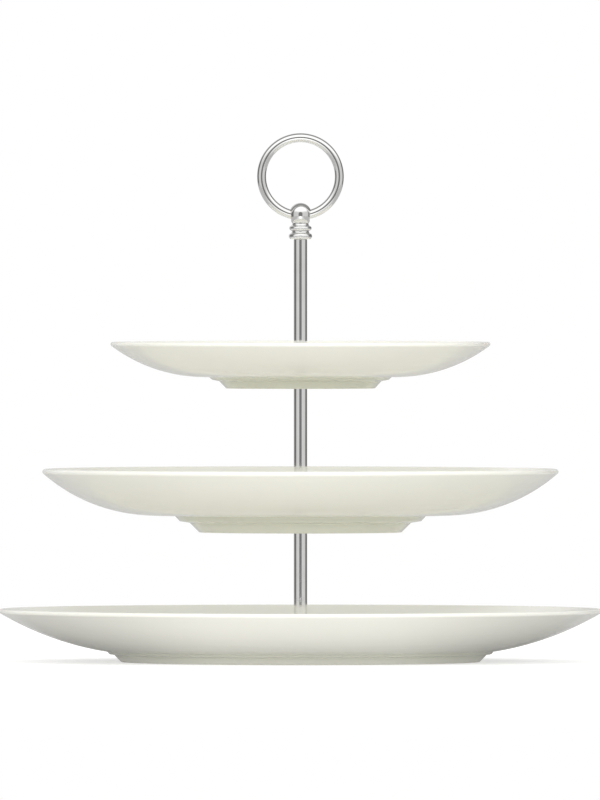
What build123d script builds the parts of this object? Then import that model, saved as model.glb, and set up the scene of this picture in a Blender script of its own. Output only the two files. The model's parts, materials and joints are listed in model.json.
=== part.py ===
from build123d import *
from dataclasses import dataclass
import os

# A three-tier cake stand: three porcelain plates threaded on a jointed metal stem, with a
# turned finial on top and a ring handle that swings in the finial's eye.
# Sizes are in millimetres. +Z is up, the origin is on the table under the stem's axis, and
# the ring handle stands in the XZ plane. Everything but the ring is turned about the Z axis.

os.makedirs("parts", exist_ok=True)

# ---- Driving dimensions ----------------------------------------------------------------

# Plates
STEM_HOLE_RADIUS = 3.5
STEM_HOLE_CHAMFER = 0.4
FOOT_WALL_DRAFT = 1.5  # how far the foot ring's inner wall leans in from ground to recess
FOOT_EDGE_ROUND = 0.5
RECESS_ROUND = 1.2
STEP_ROUND = 0.9

# Rods
ROD_RADIUS = 3.0
LOWER_ROD_LENGTH = 53.0
MIDDLE_ROD_LENGTH = 53.0
UPPER_ROD_LENGTH = 55.6
ROD_EDGE = 0.3

# M4 thread, and the tapped bores that it runs in
THREAD_RADIUS = 2.0
THREAD_ROOT_RADIUS = 1.68
THREAD_PITCH = 0.7
THREAD_CREST = 0.15  # width of the flat on each crest
TAPPED_RADIUS = 2.03
TAPPED_DEPTH = 10.0
ENGAGEMENT = 8.0  # length of thread inside a rod

# Washers and silicone cushions, a pair on each side of every plate
WASHER_RADIUS = 8.0
WASHER_THICKNESS = 1.2
WASHER_BORE_RADIUS = 2.15
WASHER_EDGE = 0.25
CUSHION_RADIUS = 9.0
CUSHION_THICKNESS = 0.8
CUSHION_BORE_RADIUS = 2.2
CUSHION_COLLAR_RADIUS = 3.3
CUSHION_COLLAR_LENGTH = 1.8
CUSHION_EDGE = 0.25

# Flat screw and washer under the bottom plate
SCREW_HEAD_RADIUS = 9.0
SCREW_HEAD_THICKNESS = 1.4
SCREW_HEAD_EDGE = 0.4
SCREW_SLOT_WIDTH = 2.0
SCREW_SLOT_DEPTH = 0.8
BASE_WASHER_RADIUS = 8.5
BASE_WASHER_THICKNESS = 0.8

# Finial, from its seat on the upper rod
FINIAL_SEAT_RADIUS = 4.4
LOWER_BEAD_RADIUS = 5.2
UPPER_BEAD_RADIUS = 5.0
GROOVE_RADIUS = 3.8
NECK_RADIUS = 3.6
NECK_Z = 7.0
DOME_RADIUS = 4.9
DOME_Z = 11.3  # centre of the dome
HEAD_BAND = 0.5  # short straight band under the dome
FINIAL_BORE_DEPTH = 6.5
FINIAL_ENGAGEMENT = 6.0

# Eye across the finial, and the ring that swings in it
EYE_Z = 10.6  # above the finial's seat
EYE_RADIUS = 2.06
EYE_LAND = 0.5  # half length of the straight middle of the eye
EYE_FLARE_RADIUS = 12.0
EYE_HALF_LENGTH = 6.0
RING_WIRE_RADIUS = 2.0
RING_RADIUS = 17.4  # to the middle of the wire


@dataclass
class PlateSize:
    """One plate, measured from the stem's axis and from the ground under its foot ring."""

    rim_radius: float
    height: float
    lip_radius: float  # rounding of the rim's edge
    floor_z: float  # flat well
    well_radius: float  # where the well starts to rise
    recess_z: float  # underside inside the foot ring
    foot_inner: float
    foot_outer: float
    steps: tuple  # corners of the underside, from the foot ring out to the belly
    level_radius: float  # where the belly's arc is level
    level_z: float
    belly_start: float  # radius at which the belly's arc begins


BOTTOM_PLATE = PlateSize(
    rim_radius=135.0,
    height=23.7,
    lip_radius=1.0,
    floor_z=8.0,
    well_radius=68.0,
    recess_z=3.6,
    foot_inner=76.9,
    foot_outer=80.3,
    steps=((83.4, 3.2), (85.6, 3.5), (86.4, 4.6)),
    level_radius=66.5,
    level_z=3.1,
    belly_start=88.0,
)
MIDDLE_PLATE = PlateSize(
    rim_radius=115.5,
    height=28.4,
    lip_radius=1.2,
    floor_z=11.6,
    well_radius=59.0,
    recess_z=7.0,
    foot_inner=42.0,
    foot_outer=45.3,
    steps=((49.6, 4.3), (54.1, 5.0), (56.5, 7.6)),
    level_radius=65.5,
    level_z=7.6,
    belly_start=65.5,
)
TOP_PLATE = PlateSize(
    rim_radius=85.0,
    height=20.9,
    lip_radius=1.0,
    floor_z=9.2,
    well_radius=43.0,
    recess_z=4.2,
    foot_inner=30.4,
    foot_outer=33.3,
    steps=((36.3, 3.2), (39.6, 3.9), (41.0, 5.1)),
    level_radius=43.0,
    level_z=5.1,
    belly_start=43.0,
)

# ---- Heights, worked out up the stem ---------------------------------------------------

PACKING = CUSHION_THICKNESS + WASHER_THICKNESS  # between a plate and the rod it meets

bottom_z = 0.0
lower_rod_z = bottom_z + BOTTOM_PLATE.floor_z + PACKING
middle_z = lower_rod_z + LOWER_ROD_LENGTH + PACKING - MIDDLE_PLATE.recess_z
middle_rod_z = middle_z + MIDDLE_PLATE.floor_z + PACKING
top_z = middle_rod_z + MIDDLE_ROD_LENGTH + PACKING - TOP_PLATE.recess_z
upper_rod_z = top_z + TOP_PLATE.floor_z + PACKING
finial_z = upper_rod_z + UPPER_ROD_LENGTH
eye_z = finial_z + EYE_Z


def turning_plane(height):
    """Upright plane through the stem's axis, with its own origin at a height on the axis."""
    return Plane((0, 0, height), x_dir=(1, 0, 0), z_dir=(0, -1, 0))


def save(piece, name):
    piece.part.label = name
    export_step(piece.part, f"parts/{name}.step")


# ---- Plates ----------------------------------------------------------------------------


def arc_to_lip(level, lip_centre, lip_radius, side):
    """Arc that leaves `level` horizontally and is tangent to the circle of the lip.

    side is -1 for the belly, which goes round the lip's circle, and +1 for the dish, which
    passes inside it. Gives the arc's centre, its radius and the point where it meets the lip.
    """
    run = lip_centre.X - level.X
    rise = lip_centre.Y - level.Y
    radius = (run**2 + rise**2 - lip_radius**2) / (2 * (rise + side * lip_radius))
    centre = level + Vector(0, radius)
    return centre, radius, centre + (lip_centre - centre).normalized() * radius


def make_plate(name, size, ground_z):
    lip_centre = Vector(size.rim_radius - size.lip_radius, size.height - size.lip_radius)
    belly_level = Vector(size.level_radius, size.level_z)
    belly_centre, belly_radius, belly_end = arc_to_lip(belly_level, lip_centre, size.lip_radius, -1)
    well_edge = Vector(size.well_radius, size.floor_z)
    dish_end = arc_to_lip(well_edge, lip_centre, size.lip_radius, 1)[2]

    run = size.belly_start - size.level_radius
    fall = (belly_radius**2 - run**2) ** 0.5
    belly_begin = belly_centre + Vector(run, -fall)

    hole_edge = STEM_HOLE_RADIUS + STEM_HOLE_CHAMFER
    underside = [
        (hole_edge, size.recess_z),
        (size.foot_inner - FOOT_WALL_DRAFT, size.recess_z),
        (size.foot_inner, 0),
        (size.foot_outer, 0),
        *size.steps,
        belly_begin,
    ]
    rounds = [RECESS_ROUND, FOOT_EDGE_ROUND, FOOT_EDGE_ROUND] + [STEP_ROUND] * len(size.steps)

    with BuildPart() as plate:
        with BuildSketch(turning_plane(ground_z)):
            with BuildLine():
                FilletPolyline(*underside, radius=rounds)
                belly = TangentArc(belly_begin, belly_end, tangent=(fall, run))
                lip = TangentArc(belly_end, dish_end, tangent=belly % 1)
                TangentArc(dish_end, well_edge, tangent=lip % 1)
                Polyline(
                    well_edge,
                    (hole_edge, size.floor_z),
                    (STEM_HOLE_RADIUS, size.floor_z - STEM_HOLE_CHAMFER),
                    (STEM_HOLE_RADIUS, size.recess_z + STEM_HOLE_CHAMFER),
                    underside[0],
                )
            make_face()
        revolve(axis=Axis.Z)
    save(plate, name)


make_plate("bottom_plate", BOTTOM_PLATE, bottom_z)
make_plate("middle_plate", MIDDLE_PLATE, middle_z)
make_plate("top_plate", TOP_PLATE, top_z)


# ---- Rods ------------------------------------------------------------------------------


def make_rod(name, bottom, length):
    """Round rod with a tapped bore in each end."""
    with BuildPart() as rod:
        with BuildSketch(Plane.XY.offset(bottom)):
            Circle(ROD_RADIUS)
        extrude(amount=length)
        for end_face in rod.faces().filter_by(Axis.Z):
            with BuildSketch(end_face):
                Circle(TAPPED_RADIUS)
            extrude(amount=-TAPPED_DEPTH, mode=Mode.SUBTRACT)
        ends = rod.edges().group_by(Axis.Z)
        chamfer(ends[0] + ends[-1], length=ROD_EDGE)
    save(rod, name)


make_rod("lower_rod", lower_rod_z, LOWER_ROD_LENGTH)
make_rod("middle_rod", middle_rod_z, MIDDLE_ROD_LENGTH)
make_rod("upper_rod", upper_rod_z, UPPER_ROD_LENGTH)


# ---- Studs and base screw --------------------------------------------------------------


def thread_outline(bottom, top):
    """Half outline of a threaded length, its thread drawn as rings of one pitch each."""
    turns = round((top - bottom) / THREAD_PITCH) - 1
    first = (bottom + top - turns * THREAD_PITCH) / 2
    outline = []
    for turn in range(turns + 1):
        crest = first + turn * THREAD_PITCH
        outline.append((THREAD_RADIUS, crest - THREAD_CREST / 2))
        outline.append((THREAD_RADIUS, crest + THREAD_CREST / 2))
        if turn < turns:
            outline.append((THREAD_ROOT_RADIUS, crest + THREAD_PITCH / 2))
    return [(THREAD_ROOT_RADIUS, bottom), *outline, (THREAD_ROOT_RADIUS, top)]


def make_stud(name, bottom, top):
    """Headless stud that draws two rods together through a plate."""
    with BuildPart() as stud:
        with BuildSketch(Plane.XZ):
            with BuildLine():
                Polyline((0, bottom), *thread_outline(bottom, top), (0, top), close=True)
            make_face()
        revolve(axis=Axis.Z)
    save(stud, name)


make_stud("lower_stud", lower_rod_z + LOWER_ROD_LENGTH - ENGAGEMENT, middle_rod_z + ENGAGEMENT)
make_stud("upper_stud", middle_rod_z + MIDDLE_ROD_LENGTH - ENGAGEMENT, upper_rod_z + ENGAGEMENT)
make_stud("finial_stud", finial_z - FINIAL_ENGAGEMENT, finial_z + FINIAL_ENGAGEMENT)

head_top = BOTTOM_PLATE.recess_z - CUSHION_THICKNESS - BASE_WASHER_THICKNESS
head_bottom = head_top - SCREW_HEAD_THICKNESS

with BuildPart() as base_screw:
    with BuildSketch(Plane.XZ):
        with BuildLine():
            Polyline(
                (0, head_bottom),
                (SCREW_HEAD_RADIUS - SCREW_HEAD_EDGE, head_bottom),
                (SCREW_HEAD_RADIUS, head_bottom + SCREW_HEAD_EDGE),
                (SCREW_HEAD_RADIUS, head_top),
                *thread_outline(head_top, lower_rod_z + ENGAGEMENT),
                (0, lower_rod_z + ENGAGEMENT),
                close=True,
            )
        make_face()
    revolve(axis=Axis.Z)
    with BuildSketch(Plane.XY.offset(head_bottom)):
        Rectangle(2 * SCREW_HEAD_RADIUS, SCREW_SLOT_WIDTH)
    extrude(amount=SCREW_SLOT_DEPTH, mode=Mode.SUBTRACT)
save(base_screw, "base_screw")


# ---- Washers and cushions --------------------------------------------------------------


def make_washer(name, bottom, radius, thickness):
    with BuildPart() as washer:
        with BuildSketch(Plane.XY.offset(bottom)):
            Circle(radius)
            Circle(WASHER_BORE_RADIUS, mode=Mode.SUBTRACT)
        extrude(amount=thickness)
        circles = washer.edges().filter_by(GeomType.CIRCLE)
        chamfer(circles.group_by(SortBy.RADIUS)[-1], length=WASHER_EDGE)
    save(washer, name)


def make_cushion(name, plate_face_z, inward):
    """Top-hat cushion: a flange on the plate's face and a collar inside its stem hole.

    inward is +1 where the plate lies above the flange, and -1 where it lies below.
    """
    with BuildPart() as cushion:
        with BuildSketch(Plane.XY.offset(plate_face_z)):
            Circle(CUSHION_RADIUS)
        extrude(amount=-inward * CUSHION_THICKNESS)
        fillet(cushion.edges(), radius=CUSHION_EDGE)
        with BuildSketch(Plane.XY.offset(plate_face_z)):
            Circle(CUSHION_COLLAR_RADIUS)
        extrude(amount=inward * CUSHION_COLLAR_LENGTH)
        with BuildSketch(Plane.XY.offset(plate_face_z)):
            Circle(CUSHION_BORE_RADIUS)
        extrude(amount=CUSHION_COLLAR_LENGTH, both=True, mode=Mode.SUBTRACT)
    save(cushion, name)


make_washer("base_washer", head_top, BASE_WASHER_RADIUS, BASE_WASHER_THICKNESS)
make_cushion("bottom_lower_cushion", bottom_z + BOTTOM_PLATE.recess_z, 1)
make_cushion("bottom_upper_cushion", bottom_z + BOTTOM_PLATE.floor_z, -1)
make_washer("bottom_upper_washer", lower_rod_z - WASHER_THICKNESS, WASHER_RADIUS, WASHER_THICKNESS)

make_washer("middle_lower_washer", lower_rod_z + LOWER_ROD_LENGTH, WASHER_RADIUS, WASHER_THICKNESS)
make_cushion("middle_lower_cushion", middle_z + MIDDLE_PLATE.recess_z, 1)
make_cushion("middle_upper_cushion", middle_z + MIDDLE_PLATE.floor_z, -1)
make_washer("middle_upper_washer", middle_rod_z - WASHER_THICKNESS, WASHER_RADIUS, WASHER_THICKNESS)

make_washer("top_lower_washer", middle_rod_z + MIDDLE_ROD_LENGTH, WASHER_RADIUS, WASHER_THICKNESS)
make_cushion("top_lower_cushion", top_z + TOP_PLATE.recess_z, 1)
make_cushion("top_upper_cushion", top_z + TOP_PLATE.floor_z, -1)
make_washer("top_upper_washer", upper_rod_z - WASHER_THICKNESS, WASHER_RADIUS, WASHER_THICKNESS)


# ---- Finial ----------------------------------------------------------------------------

# Two rounded beads at the seat, each swept in to a narrower groove above it, then a neck that
# swells into a domed head.
with BuildPart() as finial:
    with BuildSketch(turning_plane(finial_z)):
        with BuildLine():
            seat = Line((0, 0), (FINIAL_SEAT_RADIUS, 0))
            lower_bead = ThreePointArc(seat @ 1, (LOWER_BEAD_RADIUS, 1.35), (4.7, 2.4))
            groove = ThreePointArc(lower_bead @ 1, (4.0, 2.9), (GROOVE_RADIUS, 3.6))
            under_bead = Line(groove @ 1, (4.35, 3.95))
            upper_bead = ThreePointArc(under_bead @ 1, (UPPER_BEAD_RADIUS, 4.85), (4.45, 5.8))
            neck = ThreePointArc(upper_bead @ 1, (3.8, 6.3), (NECK_RADIUS, NECK_Z))
            head_side = TangentArc(
                (DOME_RADIUS, DOME_Z - HEAD_BAND), neck @ 1, tangent=(0, -1)
            )
            band = Line(head_side @ 0, (DOME_RADIUS, DOME_Z))
            dome = TangentArc(band @ 1, (0, DOME_Z + DOME_RADIUS), tangent=(0, 1))
            Line(dome @ 1, seat @ 0)
        make_face()
    revolve(axis=Axis.Z)
    with BuildSketch(Plane.XY.offset(finial_z)):
        Circle(TAPPED_RADIUS)
    extrude(amount=FINIAL_BORE_DEPTH, mode=Mode.SUBTRACT)
    # The eye: straight for a short way in the middle, and flared to both mouths so that the
    # curved wire of the ring can turn in it.
    flare_run = EYE_HALF_LENGTH - EYE_LAND
    mouth_radius = EYE_RADIUS + EYE_FLARE_RADIUS - (EYE_FLARE_RADIUS**2 - flare_run**2) ** 0.5
    with BuildSketch(turning_plane(eye_z)):
        with BuildLine():
            land = Line((-EYE_LAND, EYE_RADIUS), (EYE_LAND, EYE_RADIUS))
            right = TangentArc(land @ 1, (EYE_HALF_LENGTH, mouth_radius), tangent=(1, 0))
            left = TangentArc(land @ 0, (-EYE_HALF_LENGTH, mouth_radius), tangent=(-1, 0))
            Polyline(right @ 1, (EYE_HALF_LENGTH, 0), (-EYE_HALF_LENGTH, 0), left @ 1)
        make_face()
    revolve(axis=Axis((0, 0, eye_z), (1, 0, 0)), mode=Mode.SUBTRACT)
save(finial, "finial")


# ---- Ring handle -----------------------------------------------------------------------

ring_centre_z = eye_z + RING_RADIUS

with BuildPart() as ring_handle:
    with BuildSketch(Plane.XY.offset(ring_centre_z)):
        with Locations((RING_RADIUS, 0)):
            Circle(RING_WIRE_RADIUS)
    revolve(axis=Axis((0, 0, ring_centre_z), (0, 1, 0)))
save(ring_handle, "ring_handle")
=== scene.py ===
import json
import math

import bpy
from mathutils import Matrix, Vector


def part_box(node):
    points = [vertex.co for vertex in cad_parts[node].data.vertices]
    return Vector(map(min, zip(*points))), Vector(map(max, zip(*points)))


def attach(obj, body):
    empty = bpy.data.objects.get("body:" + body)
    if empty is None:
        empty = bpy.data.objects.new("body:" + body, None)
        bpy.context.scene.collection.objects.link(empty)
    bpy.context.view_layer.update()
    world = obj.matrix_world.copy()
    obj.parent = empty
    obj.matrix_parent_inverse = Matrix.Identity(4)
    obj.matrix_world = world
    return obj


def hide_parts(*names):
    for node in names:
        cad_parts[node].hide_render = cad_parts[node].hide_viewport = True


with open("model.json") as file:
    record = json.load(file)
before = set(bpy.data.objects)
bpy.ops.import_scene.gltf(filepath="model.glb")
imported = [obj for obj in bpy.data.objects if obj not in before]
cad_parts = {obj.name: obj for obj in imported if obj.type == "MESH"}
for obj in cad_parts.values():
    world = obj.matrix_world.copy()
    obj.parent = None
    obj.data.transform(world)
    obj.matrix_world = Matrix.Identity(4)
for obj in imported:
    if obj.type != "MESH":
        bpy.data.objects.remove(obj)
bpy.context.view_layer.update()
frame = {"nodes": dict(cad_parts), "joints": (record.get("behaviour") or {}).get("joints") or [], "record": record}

# A three-tier cake stand: porcelain plates on a chrome stem, with a ring handle.
# Outlines are (radius, height) points in millimetres and are turned about the stem's axis.

MM = 0.001
PLATE_SEGMENTS = 256
METAL_SEGMENTS = 128
SHARP_ANGLE = math.radians(34)
HALF_STRAIGHT = math.radians(89.5)  # half the angle at a corner that is as good as straight
TINY = 1e-6


# ---- Outlines ----------------------------------------------------------------------------


def rounded(points, radii, steps=6):
    """The points of an open outline, its inner corners rounded with one radius each."""
    outline = [Vector(points[0])]
    for before, corner, after, radius in zip(points, points[1:], points[2:], radii):
        corner = Vector(corner)
        back = (Vector(before) - corner).normalized()
        ahead = (Vector(after) - corner).normalized()
        half_angle = back.angle(ahead) / 2
        if radius == 0 or half_angle > HALF_STRAIGHT:
            outline.append(corner)
            continue
        centre = corner + (back + ahead).normalized() * (radius / math.sin(half_angle))
        reach = radius / math.tan(half_angle)
        outline += arc(centre, corner + back * reach, corner + ahead * reach, steps)
    outline.append(Vector(points[-1]))
    return outline


def arc(centre, start, end, steps):
    """Points of the shorter arc from start to end, both ends included."""
    arm, last = start - centre, end - centre
    sweep = math.atan2(arm.x * last.y - arm.y * last.x, arm.dot(last))
    points = []
    for i in range(steps + 1):
        turn = sweep * i / steps
        along = arm.x * math.cos(turn) - arm.y * math.sin(turn)
        up = arm.x * math.sin(turn) + arm.y * math.cos(turn)
        points.append(centre + Vector((along, up)))
    return points


def filled(outline, spacing, closed):
    """The same outline with points added, so that none is further than spacing from the next."""
    dense = []
    following = outline[1:] + outline[:1] if closed else outline[1:]
    for start, end in zip(outline, following):
        gap = (end - start).length
        if gap < TINY:
            continue
        parts = max(1, math.ceil(gap / spacing))
        dense += [start.lerp(end, i / parts) for i in range(parts)]
    return dense if closed else dense + [outline[-1]]


# ---- Turned meshes -----------------------------------------------------------------------


def turned(name, outline, segments, closed=False):
    """Mesh object of an outline turned about Z. An open outline starts and ends on the axis."""
    ring = outline if closed else outline[1:-1]
    vertices = []
    for point in ring:
        for s in range(segments):
            angle = 2 * math.pi * s / segments
            vertices.append((point.x * math.cos(angle), point.x * math.sin(angle), point.y))
    faces = []
    rows = len(ring)
    for row in range(rows if closed else rows - 1):
        here, above = row * segments, (row + 1) % rows * segments
        for s in range(segments):
            beside = (s + 1) % segments
            faces.append((here + s, here + beside, above + beside, above + s))
    if not closed:
        for end, row, order in ((outline[0], 0, -1), (outline[-1], rows - 1, 1)):
            pole = len(vertices)
            vertices.append((0, 0, end.y))
            for s in range(segments):
                rim = (row * segments + s, row * segments + (s + 1) % segments)[::order]
                faces.append((*rim, pole))
    mesh = bpy.data.meshes.new(name)
    mesh.from_pydata([Vector(v) * MM for v in vertices], [], faces)
    piece = bpy.data.objects.new(name, mesh)
    bpy.context.scene.collection.objects.link(piece)
    return piece


def smooth(piece):
    """Smooth shading with real corners kept, and flats that stay flat beside small rounds."""
    piece.data.shade_smooth()
    piece.data.set_sharp_from_angle(angle=SHARP_ANGLE)
    weighted = piece.modifiers.new("even_normals", "WEIGHTED_NORMAL")
    weighted.keep_sharp = True


def cut(piece, cutter):
    """Takes the cutter's shape out of the piece for good, and removes the cutter."""
    boolean = piece.modifiers.new("cut", "BOOLEAN")
    boolean.object = cutter
    boolean.solver = "EXACT"
    shaped = piece.evaluated_get(bpy.context.evaluated_depsgraph_get())
    mesh = bpy.data.meshes.new_from_object(shaped)
    piece.modifiers.clear()
    piece.data = mesh
    bpy.data.objects.remove(cutter)


def finished(piece, node, slot_name, *materials):
    """The piece stands for a CAD node: it takes its body and its materials. Its slot name is not used."""
    for material in materials:
        piece.data.materials.append(material)
    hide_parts(node)
    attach(piece, node_body(node))


def node_body(node):
    """The name of the body that a CAD node belongs to."""
    for body, members in frame["record"]["behaviour"]["bodies"].items():
        if node in members:
            return body


def span(node):
    """A node's largest radius and its lowest and highest points, in millimetres."""
    low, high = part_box(node)
    return high.x / MM, low.z / MM, high.z / MM


# ---- Materials ---------------------------------------------------------------------------


def add(tree, kind, inputs=None, **settings):
    """New shader node. An input's value is a number, a colour, or another node's output."""
    made = tree.nodes.new(kind)
    for key, value in settings.items():
        setattr(made, key, value)
    for key, value in (inputs or {}).items():
        if isinstance(value, bpy.types.NodeSocket):
            tree.links.new(value, made.inputs[key])
        else:
            made.inputs[key].default_value = value
    return made


def new_material(name, **constants):
    """Material with a Principled shader, and that shader's own constant sockets set."""
    material = bpy.data.materials.new(name)
    material.use_nodes = True
    tree = material.node_tree
    shader = tree.nodes["Principled BSDF"]
    for key, value in constants.items():
        shader.inputs[key.replace("_", " ")].default_value = value
    place = add(tree, "ShaderNodeTexCoord").outputs["Object"]
    return material, tree, shader, place


def noise(tree, place, scale, detail=2.0, roughness=0.5):
    """Cloudy variation about 0.5, of so many lumps to the metre."""
    inputs = {"Vector": place, "Scale": scale, "Detail": detail, "Roughness": roughness}
    return add(tree, "ShaderNodeTexNoise", inputs).outputs["Fac"]


def between(tree, value, low, high, start=0.3, end=0.7):
    """The value, spread from start..end to low..high."""
    inputs = {"Value": value, "From Min": start, "From Max": end, "To Min": low, "To Max": high}
    return add(tree, "ShaderNodeMapRange", inputs).outputs["Result"]


def times(tree, one, other):
    """The product of two values."""
    return add(tree, "ShaderNodeMath", {0: one, 1: other}, operation="MULTIPLY").outputs[0]


def plus(tree, one, other):
    """The sum of two values."""
    return add(tree, "ShaderNodeMath", {0: one, 1: other}, operation="ADD").outputs[0]


def size_of(tree, value):
    """The value without its sign."""
    return add(tree, "ShaderNodeMath", {0: value}, operation="ABSOLUTE").outputs[0]


def painted(tree, name):
    """A mesh attribute of that name, as a number."""
    return add(tree, "ShaderNodeAttribute", attribute_name=name).outputs["Fac"]


def blended(tree, factor, one, other):
    """Colour that goes from one to the other with the factor."""
    mix = add(tree, "ShaderNodeMix", data_type="RGBA")
    tree.links.new(factor, mix.inputs[0])
    for socket, colour in ((mix.inputs[6], one), (mix.inputs[7], other)):
        if isinstance(colour, bpy.types.NodeSocket):
            tree.links.new(colour, socket)
        else:
            socket.default_value = (*colour, 1)
    return mix.outputs[2]


def bump(tree, height, distance, normal=None):
    """Normal of a surface raised by height times the distance in metres, over another one."""
    inputs = {"Height": height, "Strength": 1.0, "Distance": distance}
    if normal:
        inputs["Normal"] = normal
    return add(tree, "ShaderNodeBump", inputs).outputs["Normal"]


def from_axis(tree, place):
    """Distance from the stem's axis, in metres."""
    flat = add(tree, "ShaderNodeVectorMath", {0: place, 1: (1, 1, 0)}, operation="MULTIPLY")
    length = add(tree, "ShaderNodeVectorMath", {0: flat.outputs[0]}, operation="LENGTH")
    return length.outputs["Value"]


def turning_marks(tree, place, per_metre):
    """Fine rings left by turning, uneven from ring to ring."""
    inputs = {"W": from_axis(tree, place), "Scale": per_metre, "Detail": 3.0}
    return add(tree, "ShaderNodeTexNoise", inputs, noise_dimensions="1D").outputs["Fac"]


GLAZE = (0.862, 0.853, 0.783)
GLAZE_DRIFT = (0.845, 0.842, 0.770)
# Pooled glaze in the underside's corners, darkened further with painted shade
GLAZE_POOLED_AND_SHADED = (0.70, 0.71, 0.59)
# Painted shade on the foot
FOOT_PAINTED_SHADE = (0.58, 0.59, 0.49)
# Painted highlight along the lip
LIP_PAINTED_HIGHLIGHT = (0.88, 0.87, 0.80)
IRON_SPECK = (0.42, 0.36, 0.27)
SPECK_CELLS = 170.0  # cells to the metre, of which about one in twenty-five holds a speck


def porcelain():
    """Off-white body under a clear gloss glaze, which pools in corners, with painted shade in those corners and on
    the foot and a painted highlight along the lip.
    """
    material, tree, shader, place = new_material(
        "glazed_porcelain",
        IOR=1.5,
        Coat_Weight=0.35,
        Coat_Roughness=0.04,
        Coat_IOR=1.5,
        Subsurface_Weight=0.08,
        Subsurface_Radius=(1.0, 0.85, 0.6),
        Subsurface_Scale=0.0015,
    )
    drift = between(tree, noise(tree, place, 11, 2), 0, 1)
    body = blended(tree, drift, GLAZE, GLAZE_DRIFT)
    # Pooled glaze in the corners, darkened with painted shade
    pool_and_shade = between(tree, painted(tree, "glaze_pool_and_shade"), 0, 0.55, 0, 1)
    body = blended(tree, pool_and_shade, body, GLAZE_POOLED_AND_SHADED)
    # Painted shade on the foot
    body = blended(tree, painted(tree, "foot"), body, FOOT_PAINTED_SHADE)
    # Painted highlight along the lip
    lip_highlight = between(tree, painted(tree, "lip_highlight"), 0, 0.5, 0, 1)
    body = blended(tree, lip_highlight, body, LIP_PAINTED_HIGHLIGHT)
    cells = add(tree, "ShaderNodeTexVoronoi", {"Vector": place, "Scale": SPECK_CELLS})
    chosen = add(tree, "ShaderNodeSeparateColor", {"Color": cells.outputs["Color"]}).outputs[0]
    rare = between(tree, chosen, 0, 1, 0.955, 0.965)
    dot = between(tree, cells.outputs["Distance"], 0.4, 0, 0.02, 0.05)
    body = blended(tree, times(tree, rare, dot), body, IRON_SPECK)
    tree.links.new(body, shader.inputs["Base Color"])
    gloss = between(tree, noise(tree, place, 35, 4), 0.11, 0.19)
    tree.links.new(gloss, shader.inputs["Roughness"])
    rings = bump(tree, turning_marks(tree, place, 260), 0.00003)
    waves = bump(tree, noise(tree, place, 70, 2), 0.00006, rings)
    tree.links.new(waves, shader.inputs["Normal"])
    return material


def bisque():
    """Bare fired clay where the glaze is wiped off the foot ring."""
    material, tree, shader, place = new_material("bare_foot", IOR=1.45)
    grain = noise(tree, place, 2600, 4, 0.7)
    tone = blended(tree, between(tree, grain, 0, 1), (0.74, 0.71, 0.63), (0.64, 0.61, 0.53))
    tree.links.new(tone, shader.inputs["Base Color"])
    tree.links.new(between(tree, grain, 0.78, 0.95), shader.inputs["Roughness"])
    tree.links.new(bump(tree, grain, 0.00006), shader.inputs["Normal"])
    return material


def chrome():
    """Bright chrome plate with a faint polish, a few soft smears and a slightly wavy surface."""
    material, tree, shader, place = new_material("polished_chrome", Metallic=1.0)
    smears = between(tree, noise(tree, place, 90, 3), 0, 1, 0.45, 0.75)
    tone = blended(tree, smears, (0.80, 0.80, 0.79), (0.74, 0.735, 0.72))
    tree.links.new(tone, shader.inputs["Base Color"])
    tree.links.new(between(tree, smears, 0.035, 0.085, 0, 1), shader.inputs["Roughness"])
    polish = bump(tree, noise(tree, place, 3000, 2), 0.0000015)
    waves = bump(tree, noise(tree, place, 160, 1), 0.00002, polish)
    tree.links.new(waves, shader.inputs["Normal"])
    return material


def silicone():
    """Milky silicone rubber with a soft satin skin."""
    material, tree, shader, place = new_material(
        "milky_silicone",
        IOR=1.41,
        Subsurface_Weight=0.5,
        Subsurface_Radius=(1.0, 0.95, 0.85),
        Subsurface_Scale=0.001,
    )
    cloud = between(tree, noise(tree, place, 300, 3), 0, 1)
    tone = blended(tree, cloud, (0.84, 0.84, 0.81), (0.78, 0.78, 0.75))
    tree.links.new(tone, shader.inputs["Base Color"])
    tree.links.new(between(tree, cloud, 0.38, 0.52, 0, 1), shader.inputs["Roughness"])
    tree.links.new(bump(tree, noise(tree, place, 4000, 2), 0.000008), shader.inputs["Normal"])
    return material


def steel():
    """Plain turned stainless steel."""
    material, tree, shader, place = new_material("turned_steel", Metallic=1.0)
    rings = turning_marks(tree, place, 9000)
    tone = blended(tree, between(tree, rings, 0, 1), (0.60, 0.60, 0.59), (0.50, 0.50, 0.49))
    tree.links.new(tone, shader.inputs["Base Color"])
    tree.links.new(between(tree, rings, 0.22, 0.36), shader.inputs["Roughness"])
    tree.links.new(bump(tree, rings, 0.00001), shader.inputs["Normal"])
    return material


PORCELAIN = porcelain()
BISQUE = bisque()
CHROME = chrome()
SILICONE = silicone()
STEEL = steel()


# ---- Plates ------------------------------------------------------------------------------

STEM_HOLE_RADIUS = 3.5
STEM_HOLE_CHAMFER = 0.4
FOOT_WALL_DRAFT = 1.5
FOOT_EDGE_ROUND = 0.5
RECESS_ROUND = 1.2
STEP_ROUND = 0.9
BARE_HEIGHT = 0.32  # the foot ring is unglazed up to here
POOL_AND_SHADE_REACH = 1.6  # how far the pooled glaze and its painted shade reach from a corner
LIP_HIGHLIGHT_REACH = 2.2  # how far the painted highlight reaches from the lip
FOOT_SHADE_ABOVE = 0.5  # the foot's painted shade starts this far above its last step
FOOT_SHADE_FADE = 1.5  # and is full this much lower
WARP = 0.12  # most that the rim dips as the ware settles in the kiln
OUTLINE_SPACING = 2.0
PROFILE_STEPS = 48
LIP_STEPS = 8


def arc_to_lip(level, lip_centre, lip_radius, side):
    """Centre of the arc that is level at `level` and tangent to the lip's circle, and where
    it meets that circle. side is -1 for the belly and +1 for the dish."""
    run, rise = lip_centre - level
    radius = (run**2 + rise**2 - lip_radius**2) / (2 * (rise + side * lip_radius))
    centre = level + Vector((0, radius))
    return centre, centre + (lip_centre - centre).normalized() * radius


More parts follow.
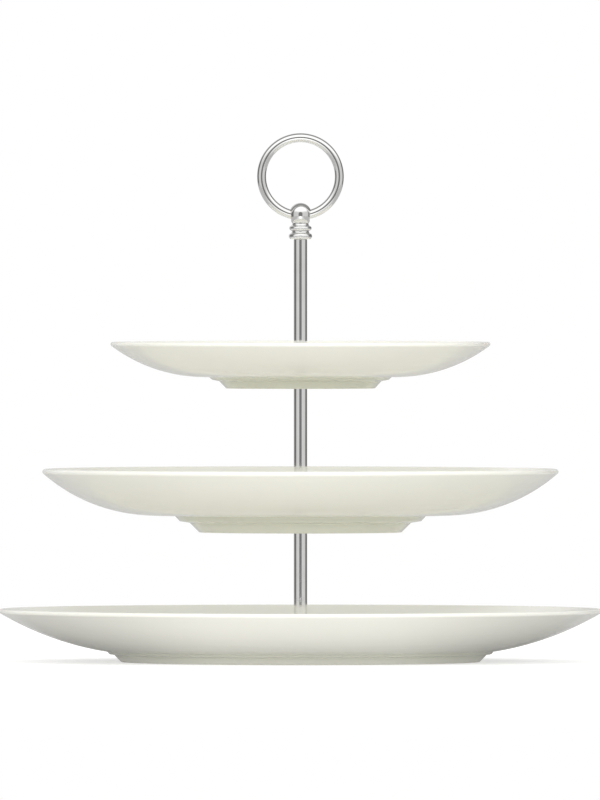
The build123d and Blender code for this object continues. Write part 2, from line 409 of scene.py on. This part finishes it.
def plate_outline(rim_radius, height, shape):
    """Closed outline of a plate, measured from the ground under its foot ring."""
    lip_radius = shape["lip_radius"]
    lip_centre = Vector((rim_radius - lip_radius, height - lip_radius))
    belly_level = Vector(shape["belly_level"])
    belly_centre, belly_end = arc_to_lip(belly_level, lip_centre, lip_radius, -1)
    run = shape["belly_start"] - belly_level.x
    belly_radius = (belly_end - belly_centre).length
    belly_begin = belly_centre + Vector((run, -math.sqrt(belly_radius**2 - run**2)))
    well_edge = Vector((shape["well_radius"], shape["floor_z"]))
    dish_centre, dish_end = arc_to_lip(well_edge, lip_centre, lip_radius, 1)
    lip_tip = lip_centre + Vector((lip_radius, lip_radius)).normalized() * lip_radius

    hole_edge = STEM_HOLE_RADIUS + STEM_HOLE_CHAMFER
    foot_inner, foot_outer = shape["foot"]
    recess_z, floor_z = shape["recess_z"], shape["floor_z"]
    underside = [
        (hole_edge, recess_z),
        (foot_inner - FOOT_WALL_DRAFT, recess_z),
        (foot_inner, 0),
        (foot_outer, 0),
        *shape["steps"],
        belly_begin,
    ]
    rounds = [RECESS_ROUND, FOOT_EDGE_ROUND, FOOT_EDGE_ROUND]
    rounds += [STEP_ROUND] * len(shape["steps"])
    outline = rounded(underside, rounds)
    outline += arc(belly_centre, belly_begin, belly_end, PROFILE_STEPS)[1:]
    outline += arc(lip_centre, belly_end, lip_tip, LIP_STEPS)[1:]
    outline += arc(lip_centre, lip_tip, dish_end, LIP_STEPS)[1:]
    outline += arc(dish_centre, dish_end, well_edge, PROFILE_STEPS)[1:]
    outline += [
        Vector((hole_edge, floor_z)),
        Vector((STEM_HOLE_RADIUS, floor_z - STEM_HOLE_CHAMFER)),
        Vector((STEM_HOLE_RADIUS, recess_z + STEM_HOLE_CHAMFER)),
    ]
    return filled(outline, OUTLINE_SPACING, closed=True)


def make_plate(node, shape, warp_phase):
    """Plate of a CAD node. Its shape lists the corners where the glaze gathers, darkened there with painted shade,
    and how much painted shade darkens its foot, from 0 to 1, to give the photo's tone there."""
    rim_radius, ground, top = span(node)
    height = top - ground
    outline = plate_outline(rim_radius, height, shape)
    plate = turned(node + "_glazed", outline, PLATE_SEGMENTS, closed=True)
    mesh = plate.data
    foot_inner, foot_outer = shape["foot"]

    # Weights for the pooled glaze with its painted shade in corners, the painted highlight along the lip and the
    # painted shade on the foot
    corners = [Vector(corner) for corner in shape["pools_and_shade"]]
    pool_and_shade = mesh.attributes.new("glaze_pool_and_shade", "FLOAT", "POINT")
    lip_highlight = mesh.attributes.new("lip_highlight", "FLOAT", "POINT")
    foot = mesh.attributes.new("foot", "FLOAT", "POINT")
    lip_point = Vector((rim_radius, height))
    step_z = shape["steps"][-1][1]
    for row, point in enumerate(outline):
        nearest = min((point - corner).length for corner in corners)
        pooled_and_shaded = math.exp(-((nearest / POOL_AND_SHADE_REACH) ** 2))
        highlit = math.exp(-(((point - lip_point).length / LIP_HIGHLIGHT_REACH) ** 2))
        below = (step_z + FOOT_SHADE_ABOVE - point.y) / FOOT_SHADE_FADE
        painted_shade = shape["foot_shade"] * min(1.0, max(0.0, below))
        for s in range(PLATE_SEGMENTS):
            pool_and_shade.data[row * PLATE_SEGMENTS + s].value = pooled_and_shaded
            lip_highlight.data[row * PLATE_SEGMENTS + s].value = highlit
            foot.data[row * PLATE_SEGMENTS + s].value = painted_shade

    mesh.materials.append(PORCELAIN)
    mesh.materials.append(BISQUE)
    for face in mesh.polygons:
        radius = face.center.xy.length / MM
        on_foot = foot_inner - FOOT_WALL_DRAFT < radius < foot_outer + FOOT_WALL_DRAFT
        if on_foot and face.center.z / MM < BARE_HEIGHT:
            face.material_index = 1

    for vertex in mesh.vertices:
        radius = vertex.co.xy.length / MM
        angle = math.atan2(vertex.co.y, vertex.co.x)
        out = max(0.0, (radius - foot_outer) / (rim_radius - foot_outer))
        dip = WARP * out**2 * (0.5 - 0.5 * math.cos(2 * angle + warp_phase))
        vertex.co.z += (ground - dip) * MM
    smooth(plate)
    finished(plate, node, "porcelain")


# In each shape below, the listed corners gather glaze darkened with painted shade, and the last value is how much
# painted shade darkens the foot
make_plate(
    "bottom_plate",
    {
        "lip_radius": 1.0,
        "floor_z": 8.0,
        "well_radius": 68.0,
        "recess_z": 3.6,
        "foot": (76.9, 80.3),
        "steps": ((83.4, 3.2), (85.6, 3.5), (86.4, 4.6)),
        "belly_level": (66.5, 3.1),
        "belly_start": 88.0,
        "pools_and_shade": ((83.4, 3.2), (86.4, 4.6), (75.4, 3.6)),
        "foot_shade": 0.18,
    },
    warp_phase=0.0,
)
make_plate(
    "middle_plate",
    {
        "lip_radius": 1.2,
        "floor_z": 11.6,
        "well_radius": 59.0,
        "recess_z": 7.0,
        "foot": (42.0, 45.3),
        "steps": ((49.6, 4.3), (54.1, 5.0), (56.5, 7.6)),
        "belly_level": (65.5, 7.6),
        "belly_start": 65.5,
        "pools_and_shade": ((49.6, 4.3), (56.5, 7.6), (40.5, 7.0)),
        "foot_shade": 0.5,
    },
    warp_phase=1.9,
)
make_plate(
    "top_plate",
    {
        "lip_radius": 1.0,
        "floor_z": 9.2,
        "well_radius": 43.0,
        "recess_z": 4.2,
        "foot": (30.4, 33.3),
        "steps": ((36.3, 3.2), (39.6, 3.9), (41.0, 5.1)),
        "belly_level": (43.0, 5.1),
        "belly_start": 43.0,
        "pools_and_shade": ((36.3, 3.2), (41.0, 5.1), (28.9, 4.2)),
        "foot_shade": 0.85,
    },
    warp_phase=3.7,
)


# ---- Stem --------------------------------------------------------------------------------

TAPPED_RADIUS = 2.03
TAPPED_DEPTH = 10.0
TAPPED_EDGE = 0.15
ROD_EDGE = 0.3
SMALL_EDGE_STEPS = 4
SMALL_SPACING = 1.0


def make_rod(node):
    """Round rod with a tapped bore in each end."""
    radius, bottom, top = span(node)
    radius = round(radius, 1)
    outline = rounded(
        [
            (0, bottom + TAPPED_DEPTH),
            (TAPPED_RADIUS, bottom + TAPPED_DEPTH),
            (TAPPED_RADIUS, bottom),
            (radius, bottom),
            (radius, top),
            (TAPPED_RADIUS, top),
            (TAPPED_RADIUS, top - TAPPED_DEPTH),
            (0, top - TAPPED_DEPTH),
        ],
        [0, TAPPED_EDGE, ROD_EDGE, ROD_EDGE, TAPPED_EDGE, 0],
    )
    rod = turned(node + "_polished", outline, METAL_SEGMENTS)
    smooth(rod)
    finished(rod, node, "chrome", CHROME)


for rod_node in ("lower_rod", "middle_rod", "upper_rod"):
    make_rod(rod_node)


WASHER_BORE_RADIUS = 2.15
WASHER_EDGE = 0.25


def make_washer(node, slot_name, material):
    """Flat turned washer. Its outer edges are rounded more than its bore's."""
    radius, bottom, top = span(node)
    middle = (radius + WASHER_BORE_RADIUS) / 2
    corners = [
        (middle, bottom),
        (radius, bottom),
        (radius, top),
        (WASHER_BORE_RADIUS, top),
        (WASHER_BORE_RADIUS, bottom),
        (middle, bottom),
    ]
    rounds = [WASHER_EDGE, WASHER_EDGE, WASHER_EDGE / 2, WASHER_EDGE / 2]
    outline = filled(rounded(corners, rounds, SMALL_EDGE_STEPS)[:-1], SMALL_SPACING, closed=True)
    washer = turned(node + "_turned", outline, METAL_SEGMENTS, closed=True)
    smooth(washer)
    finished(washer, node, slot_name, material)


make_washer("base_washer", "steel", STEEL)
for washer_node in (
    "bottom_upper_washer",
    "middle_lower_washer",
    "middle_upper_washer",
    "top_lower_washer",
    "top_upper_washer",
):
    make_washer(washer_node, "chrome", CHROME)

CUSHION_BORE_RADIUS = 2.2
CUSHION_COLLAR_RADIUS = 3.3
CUSHION_COLLAR_LENGTH = 1.8
CUSHION_EDGE = 0.25
COLLAR_EDGE = 0.1


def make_cushion(node, collar_up):
    """Top-hat cushion: a flange on the plate, and a collar inside the plate's hole."""
    radius, bottom, top = span(node)
    far, near = (bottom, top) if collar_up else (top, bottom)
    face = near - CUSHION_COLLAR_LENGTH if collar_up else near + CUSHION_COLLAR_LENGTH
    middle = (radius + CUSHION_BORE_RADIUS) / 2
    corners = [
        (middle, far),
        (radius, far),
        (radius, face),
        (CUSHION_COLLAR_RADIUS, face),
        (CUSHION_COLLAR_RADIUS, near),
        (CUSHION_BORE_RADIUS, near),
        (CUSHION_BORE_RADIUS, far),
        (middle, far),
    ]
    rounds = [CUSHION_EDGE] * 2 + [COLLAR_EDGE] * 4
    outline = filled(rounded(corners, rounds, SMALL_EDGE_STEPS)[:-1], SMALL_SPACING, closed=True)
    cushion = turned(node + "_soft", outline, METAL_SEGMENTS, closed=True)
    smooth(cushion)
    finished(cushion, node, "silicone", SILICONE)


for tier in ("bottom", "middle", "top"):
    make_cushion(tier + "_lower_cushion", collar_up=True)
    make_cushion(tier + "_upper_cushion", collar_up=False)

for stud_node in ("lower_stud", "upper_stud", "finial_stud"):
    frame["nodes"][stud_node].data.materials[0] = STEEL


# ---- Base screw --------------------------------------------------------------------------

THREAD_RADIUS = 2.0
THREAD_ROOT_RADIUS = 1.68
THREAD_PITCH = 0.7
SCREW_HEAD_THICKNESS = 1.4
SCREW_HEAD_EDGE = 0.4
SCREW_SHOULDER_EDGE = 0.1
SCREW_SLOT = (2.0, 0.8)  # width and depth


def make_base_screw(node):
    """Flat-headed screw with a ring for each turn of its thread and a slot cut in its head."""
    radius, bottom, top = span(node)
    head_top = bottom + SCREW_HEAD_THICKNESS
    head = rounded(
        [(0, bottom), (radius, bottom), (radius, head_top), (THREAD_ROOT_RADIUS, head_top)],
        [SCREW_HEAD_EDGE, SCREW_SHOULDER_EDGE],
    )
    shank = []
    turns = round((top - head_top) / THREAD_PITCH) - 1
    first = (head_top + top - turns * THREAD_PITCH) / 2
    for turn in range(turns + 1):
        crest = first + turn * THREAD_PITCH
        shank.append(Vector((THREAD_RADIUS, crest)))
        shank.append(Vector((THREAD_ROOT_RADIUS, crest + THREAD_PITCH / 2)))
    tip = [Vector((THREAD_ROOT_RADIUS, top)), Vector((0, top))]
    screw = turned(node + "_turned", head + shank[:-1] + tip, METAL_SEGMENTS)
    width, depth = SCREW_SLOT
    slot_mesh = bpy.data.meshes.new("slot")
    length = 2.4 * radius  # past both sides of the head
    low, high = bottom - depth, bottom + depth
    sides = [(x * length / 2, y * width / 2) for x, y in ((-1, -1), (1, -1), (1, 1), (-1, 1))]
    corners = [Vector((x, y, z)) * MM for z in (low, high) for x, y in sides]
    quads = [(3, 2, 1, 0), (4, 5, 6, 7), (0, 1, 5, 4), (1, 2, 6, 5), (2, 3, 7, 6), (3, 0, 4, 7)]
    slot_mesh.from_pydata(corners, [], quads)
    cutter = bpy.data.objects.new("slot", slot_mesh)
    bpy.context.scene.collection.objects.link(cutter)
    cut(screw, cutter)
    smooth(screw)
    finished(screw, node, "steel", STEEL)


make_base_screw("base_screw")


# ---- Finial ------------------------------------------------------------------------------

# Points above the finial's seat: where each bead and groove starts, its middle and its end
LOWER_BEAD = ((4.4, 0.0), (5.2, 1.35), (4.7, 2.4))
LOWER_GROOVE = (LOWER_BEAD[-1], (4.0, 2.9), (3.8, 3.6))
UPPER_BEAD = ((4.35, 3.95), (5.0, 4.85), (4.45, 5.8))
UPPER_GROOVE = (UPPER_BEAD[-1], (3.8, 6.3), (3.6, 7.0))
BEAD_STEPS = 16
GROOVE_STEPS = 12
HEAD_STEPS = 24
DOME_STEPS = 40
DOME_RADIUS = 4.9
DOME_Z = 11.3
HEAD_BAND = 0.5
FINIAL_BORE_DEPTH = 6.5
EYE_RADIUS = 2.06
EYE_LAND = 0.5
EYE_FLARE_RADIUS = 12.0
EYE_HALF_LENGTH = 6.0
EYE_SEGMENTS = 96
FLARE_STEPS = 16


def arc_through(start, middle, end, steps):
    """Points of the arc from start through middle to end."""
    start, middle, end = Vector(start), Vector(middle), Vector(end)
    a, b = middle - start, end - start
    twice_area = 2 * (a.x * b.y - a.y * b.x)
    across = (b.y * a.length_squared - a.y * b.length_squared) / twice_area
    up = (a.x * b.length_squared - b.x * a.length_squared) / twice_area
    centre = start + Vector((across, up))
    half = arc(centre, start, middle, steps // 2)
    return half + arc(centre, middle, end, steps // 2)[1:]


def finial_outline():
    """The finial's outline above its seat: two beads, each swept in to a groove, a neck and
    a domed head, with the tapped bore from below."""
    outline = [
        Vector((0, FINIAL_BORE_DEPTH)),
        Vector((TAPPED_RADIUS, FINIAL_BORE_DEPTH)),
        Vector((TAPPED_RADIUS, 0)),
        *arc_through(*LOWER_BEAD, BEAD_STEPS),
        *arc_through(*LOWER_GROOVE, GROOVE_STEPS)[1:],
        *arc_through(*UPPER_BEAD, BEAD_STEPS),
        *arc_through(*UPPER_GROOVE, GROOVE_STEPS)[1:],
    ]
    neck = outline[-1]
    side_top = Vector((DOME_RADIUS, DOME_Z - HEAD_BAND))
    chord = neck - side_top
    side_radius = chord.length_squared / (-2 * chord.x)
    side_centre = side_top - Vector((side_radius, 0))
    outline += arc(side_centre, neck, side_top, HEAD_STEPS)[1:]
    dome_side, dome_top = Vector((DOME_RADIUS, DOME_Z)), Vector((0, DOME_Z + DOME_RADIUS))
    outline += arc(Vector((0, DOME_Z)), dome_side, dome_top, DOME_STEPS)
    return outline


def eye_cutter(eye):
    """Hourglass along X through the eye's centre: straight in the middle, flared outwards."""
    flare_centre = Vector((EYE_RADIUS + EYE_FLARE_RADIUS, EYE_LAND))
    run = EYE_HALF_LENGTH - EYE_LAND
    mouth = EYE_RADIUS + EYE_FLARE_RADIUS - math.sqrt(EYE_FLARE_RADIUS**2 - run**2)
    land_end, mouth_edge = Vector((EYE_RADIUS, EYE_LAND)), Vector((mouth, EYE_HALF_LENGTH))
    half = arc(flare_centre, land_end, mouth_edge, FLARE_STEPS)
    other_half = [Vector((point.x, -point.y)) for point in reversed(half)]
    ends = Vector((0, -EYE_HALF_LENGTH)), Vector((0, EYE_HALF_LENGTH))
    cutter = turned("eye", [ends[0], *other_half, *half, ends[1]], EYE_SEGMENTS)
    cutter.data.transform(Matrix.Rotation(math.pi / 2, 4, "Y"))
    cutter.data.transform(Matrix.Translation(eye))
    return cutter


def make_finial(node, eye):
    """Turned finial with the ring's eye cut through its head."""
    seat = span(node)[1]
    outline = [Vector((point.x, point.y + seat)) for point in finial_outline()]
    finial = turned(node + "_polished", outline, METAL_SEGMENTS)
    cut(finial, eye_cutter(eye))
    smooth(finial)
    finished(finial, node, "chrome", CHROME)


make_finial("finial", Vector(frame["joints"][0]["pos_m"]))


# ---- Ring handle -------------------------------------------------------------------------

WIRE_RADIUS = 2.0
WIRE_SEGMENTS = 48
RING_SEGMENTS = 256


def make_ring(node):
    """Round wire bent to a full ring that stands in the XZ plane."""
    low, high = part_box(node)
    centre = (low + high) / 2
    wire_centre = Vector(((high.x - low.x) / 2 / MM - WIRE_RADIUS, 0))
    wire = []
    for i in range(WIRE_SEGMENTS):
        angle = 2 * math.pi * i / WIRE_SEGMENTS
        wire.append(wire_centre + Vector((math.cos(angle), math.sin(angle))) * WIRE_RADIUS)
    ring = turned(node + "_polished", wire, RING_SEGMENTS, closed=True)
    ring.data.transform(Matrix.Rotation(math.pi / 2, 4, "X"))
    ring.data.transform(Matrix.Translation(centre))
    smooth(ring)
    finished(ring, node, "chrome", CHROME)


make_ring("ring_handle")


# ---- Studio ------------------------------------------------------------------------------

# The floor, in metres. Each pair of levels goes with the pair of places where they hold.
FLOOR_RADIUS = 1.5
FLOOR_SEGMENTS = 96
FLOOR_FADE = 0.9  # where the floor starts to fade into the white
SEEN_GREY = 0.60
SEEN_GLOW = 0.55  # with this of its own light, the floor is white to the camera
BOUNCE = (0.72, 0.52)  # what the floor reflects on to the stand, in the middle and at the sides
BOUNCE_REACH = (0.04, 0.33)
GLOW = (0.22, 0.0)  # light that the sweep itself adds, in the middle and at the sides
GLOW_REACH = (0.045, 0.13)
FRONT_GLOW = (0.6, 0.0)  # the same from the sweep's front, far ahead and near the stand
FRONT_REACH = (-0.6, -0.2)
FRONT_WIDTH = (0.10, 0.40)  # where the front's glow fades out sideways
BEHIND = 0.6  # a metre behind the stand counts as this much to its side


def make_floor():
    """Round pale floor that fades into the white background. The camera sees it white with the
    stand's soft shadow. All other rays meet a darker floor that is brightest in front and in
    the middle, with levels chosen to give the porcelain the photo's tones."""
    mesh = bpy.data.meshes.new("floor")
    corners = []
    for i in range(FLOOR_SEGMENTS):
        angle = 2 * math.pi * i / FLOOR_SEGMENTS
        corners.append((FLOOR_RADIUS * math.cos(angle), FLOOR_RADIUS * math.sin(angle), 0))
    mesh.from_pydata(corners, [], [tuple(range(FLOOR_SEGMENTS))])
    floor = bpy.data.objects.new("floor", mesh)
    bpy.context.scene.collection.objects.link(floor)
    material, tree, shader, place = new_material("pale_floor", Roughness=0.9)
    shader.inputs["Specular IOR Level"].default_value = 0.0
    shader.inputs["Base Color"].default_value = (SEEN_GREY, SEEN_GREY, SEEN_GREY, 1)
    shader.inputs["Emission Color"].default_value = (1, 1, 1, 1)
    shader.inputs["Emission Strength"].default_value = SEEN_GLOW
    parts = add(tree, "ShaderNodeSeparateXYZ", {"Vector": place})
    behind = between(tree, parts.outputs["Y"], 0, BEHIND, 0, 1)
    aside = plus(tree, size_of(tree, parts.outputs["X"]), behind)
    level = between(tree, aside, *BOUNCE, *BOUNCE_REACH)
    glow = between(tree, aside, *GLOW, *GLOW_REACH)
    ahead = between(tree, parts.outputs["Y"], *FRONT_GLOW, *FRONT_REACH)
    ahead_middle = between(tree, aside, 1, 0, *FRONT_WIDTH)
    glow = plus(tree, glow, times(tree, ahead, ahead_middle))
    diffuse = add(tree, "ShaderNodeBsdfDiffuse", {"Color": level})
    glowing = add(tree, "ShaderNodeEmission", {"Strength": glow})
    bounce = add(tree, "ShaderNodeAddShader", {0: diffuse.outputs[0], 1: glowing.outputs[0]})
    seen = add(tree, "ShaderNodeLightPath").outputs["Is Camera Ray"]
    mix = add(tree, "ShaderNodeMixShader", {0: seen, 1: bounce.outputs[0], 2: shader.outputs[0]})
    fade = between(tree, from_axis(tree, place), 1, 0, FLOOR_FADE, FLOOR_RADIUS)
    clear = add(tree, "ShaderNodeBsdfTransparent")
    edge = add(tree, "ShaderNodeMixShader", {0: fade, 1: clear.outputs[0], 2: mix.outputs[0]})
    tree.links.new(edge.outputs[0], tree.nodes["Material Output"].inputs["Surface"])
    mesh.materials.append(material)


# The studio as polished metal shows it. A stop is how far round it is, from straight behind (0)
# to the camera (1), and how bright: a pale back, dark flats, a bright front, a dark camera.
MIRRORED_STOPS = (
    (0.000, 0.75),
    (0.050, 0.75),
    (0.120, 0.23),
    (0.500, 0.23),
    (0.620, 0.92),
    (0.955, 0.98),
    (0.980, 0.27),
)
SOFTBOX = 1.8  # how much brighter that is high up
SOFTBOX_FROM = (0.25, 0.55)
LEAN = 0.14  # how much further forward the left flat stands than the right one
# The same for all other light, which the camera is too small to dim
SOFT_STOPS = (
    (0.000, 0.60),
    (0.110, 0.60),
    (0.200, 0.14),
    (0.470, 0.12),
    (0.540, 1.00),
    (1.000, 1.10),
)
# Above the horizon that light is a broad bank instead, in front and behind
SKY_ABOVE = (3.25, 2.1)
SKY_TURN = (-0.6, 0.6)
ABOVE_FROM = (0.0, 0.12)
FLATS = 0.7  # how much of the bank is left at the sides
FLATS_FROM = (0.35, 0.85)
CEILING = 0.4  # how much of it is left overhead
CEILING_FROM = (0.40, 0.75)


def levels(tree, position, stops):
    """How bright it is at a position among the stops."""
    ramp = add(tree, "ShaderNodeValToRGB", {"Fac": position})
    elements = ramp.color_ramp.elements
    for element, (stop, level) in zip(elements, (stops[0], stops[-1])):
        element.position = stop
        element.color = (level, level, level, 1)
    for stop, level in stops[1:-1]:
        elements.new(stop).color = (level, level, level, 1)
    return ramp.outputs["Color"]


def make_world():
    """White all round for the camera. Light and reflections meet a painted studio instead,
    bright in front, above and behind and dark round the sides. Its levels are chosen to give
    the photo's tones, and reflections have a pattern of their own."""
    world = bpy.data.worlds.new("studio")
    world.use_nodes = True
    bpy.context.scene.world = world
    tree = world.node_tree
    tree.nodes.clear()
    direction = add(tree, "ShaderNodeTexCoord").outputs["Generated"]
    parts = add(tree, "ShaderNodeSeparateXYZ", {"Vector": direction})
    front = between(tree, parts.outputs["Y"], 1, 0, -1, 1)
    high = between(tree, parts.outputs["Z"], 0, 1, *ABOVE_FROM)
    above = between(tree, parts.outputs["Y"], *SKY_ABOVE, *SKY_TURN)
    flats = between(tree, size_of(tree, parts.outputs["X"]), 1, FLATS, *FLATS_FROM)
    ceiling = between(tree, parts.outputs["Z"], 1, CEILING, *CEILING_FROM)
    above = times(tree, times(tree, above, flats), ceiling)
    soft = levels(tree, front, SOFT_STOPS)
    soft = add(tree, "ShaderNodeMix", {0: high, 2: soft, 3: above}).outputs[0]
    lean = between(tree, parts.outputs["X"], -LEAN, LEAN, -1, 1)
    lean = times(tree, lean, between(tree, front, 1, 0, 0, 1))
    mirrored = levels(tree, plus(tree, front, lean), MIRRORED_STOPS)
    box = between(tree, parts.outputs["Z"], 1, SOFTBOX, *SOFTBOX_FROM)
    mirrored = times(tree, mirrored, box)
    path = add(tree, "ShaderNodeLightPath").outputs
    level = add(tree, "ShaderNodeMix", {0: path["Is Glossy Ray"], 2: soft, 3: mirrored})
    pattern = add(tree, "ShaderNodeBackground", {"Strength": level.outputs[0]})
    plain = add(tree, "ShaderNodeBackground", {"Color": (1, 1, 1, 1), "Strength": 1.0})
    mix = add(tree, "ShaderNodeMixShader", {0: path["Is Camera Ray"]})
    tree.links.new(pattern.outputs[0], mix.inputs[1])
    tree.links.new(plain.outputs[0], mix.inputs[2])
    add(tree, "ShaderNodeOutputWorld", {"Surface": mix.outputs[0]})


CAMERA_DISTANCE = 12.0
CAMERA_HEIGHT = 0.2105
CAMERA_SIDE = -0.0002
CAMERA_SENSOR = 36.0
CAMERA_SEES = 100.0
AIM_HEIGHT = 0.1172
FRAME_HEIGHT = 0.3580  # what the picture's height covers at the stem


def make_camera():
    """Long lens at the height of the ring, looking very slightly down at the stand."""
    data = bpy.data.cameras.new("camera")
    data.sensor_width = CAMERA_SENSOR
    data.lens = data.sensor_width * CAMERA_DISTANCE / FRAME_HEIGHT
    data.clip_end = CAMERA_SEES
    camera = bpy.data.objects.new("camera", data)
    camera.location = (CAMERA_SIDE, -CAMERA_DISTANCE, CAMERA_HEIGHT)
    aim = Vector((CAMERA_SIDE, 0, AIM_HEIGHT)) - camera.location
    camera.rotation_euler = aim.to_track_quat("-Z", "Y").to_euler()
    bpy.context.scene.collection.objects.link(camera)
    bpy.context.scene.camera = camera


make_floor()
make_world()
make_camera()
bpy.context.scene.view_settings.view_transform = "Standard"
